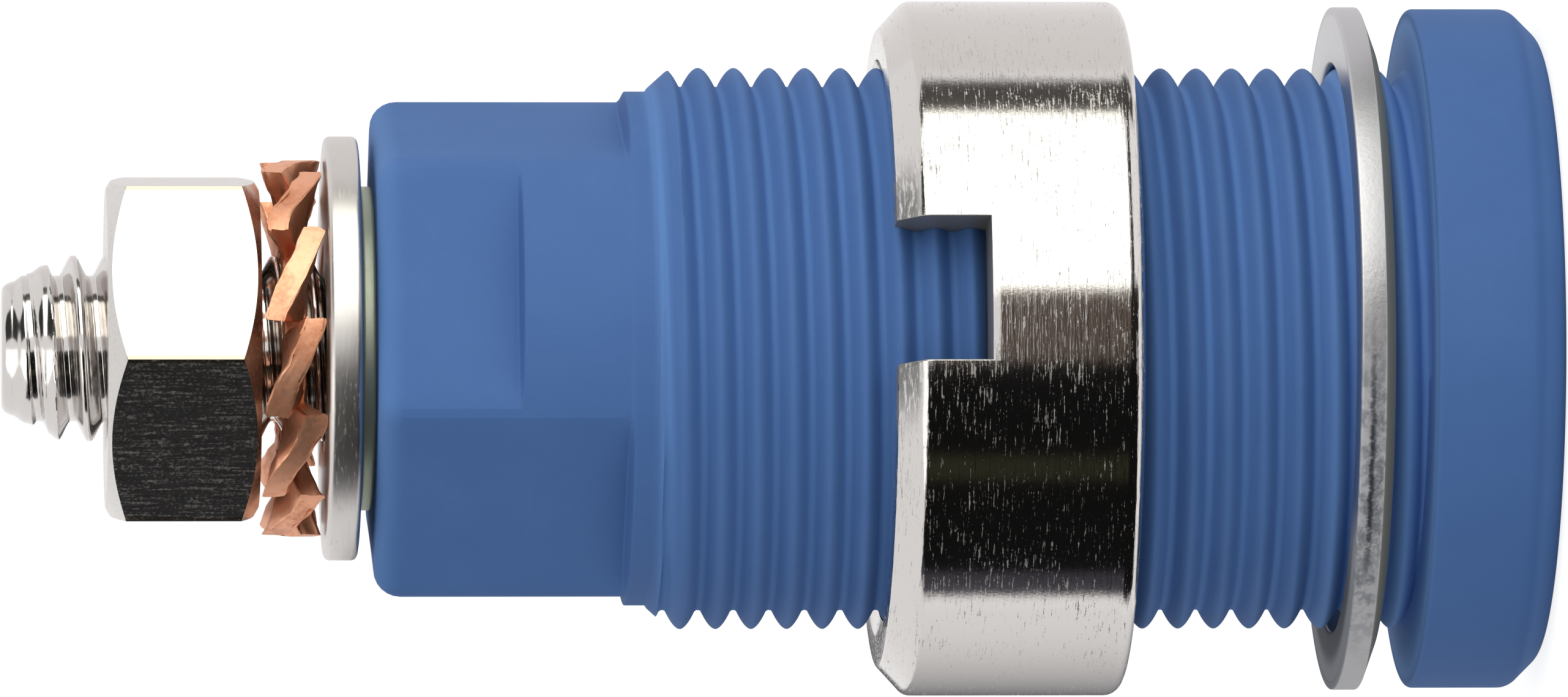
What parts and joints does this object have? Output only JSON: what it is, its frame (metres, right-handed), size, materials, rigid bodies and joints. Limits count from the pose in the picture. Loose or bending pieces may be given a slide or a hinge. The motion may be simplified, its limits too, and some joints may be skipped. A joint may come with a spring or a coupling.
{
  "type": "safety banana socket",
  "caption": "Panel-mount safety banana socket: flanged, threaded plastic housing round a shrouded plug contact, with a slotted nut, washers and a hex nut on its rear stud.",
  "frame": {"origin": "centre of the front face, on the axis", "axes": "+Z along the axis from the front face to the rear stud, -Y towards the slot that the picture shows"},
  "size_m": [0.0146, 0.0146, 0.0323],
  "materials": {
    "blue_plastic": "moulded, satin",
    "nickel_plate": "bright nickel plate over brass",
    "bronze": "bare phosphor bronze, satin"
  },
  "bodies": {
    "socket": {"housing": "blue_plastic", "contact": "nickel_plate"},
    "panel_washer": {"panel_washer": "nickel_plate"},
    "panel_nut": {"panel_nut": "nickel_plate"},
    "terminal_washers": {"flat_washer": "nickel_plate", "lock_washer": "bronze"},
    "terminal_nut": {"terminal_nut": "nickel_plate"}
  },
  "joints": [
    {"name": "panel_nut_turn", "type": "hinge", "parent": "socket", "child": "panel_washer", "pos_m": [0, 0, 0], "axis": [0, 0, 1], "range_deg": [-2117, 4325]},
    {"name": "panel_nut_travel", "type": "slide", "parent": "panel_washer", "child": "panel_nut", "axis": [0, 0, 1], "range_m": [-0.0044, 0.009]},
    {"name": "terminal_nut_turn", "type": "hinge", "parent": "socket", "child": "terminal_washers", "pos_m": [0, 0, 0.0248], "axis": [0, 0, 1], "range_deg": [0, 2165]},
    {"name": "terminal_nut_travel", "type": "slide", "parent": "terminal_washers", "child": "terminal_nut", "axis": [0, 0, 1], "range_m": [0, 0.0042]}
  ],
  "couplings": [
    {"joint": "panel_nut_turn", "follows": "panel_nut_travel", "rad_per_m": 8377.6},
    {"joint": "terminal_nut_turn", "follows": "terminal_nut_travel", "rad_per_m": 8976}
  ]
}
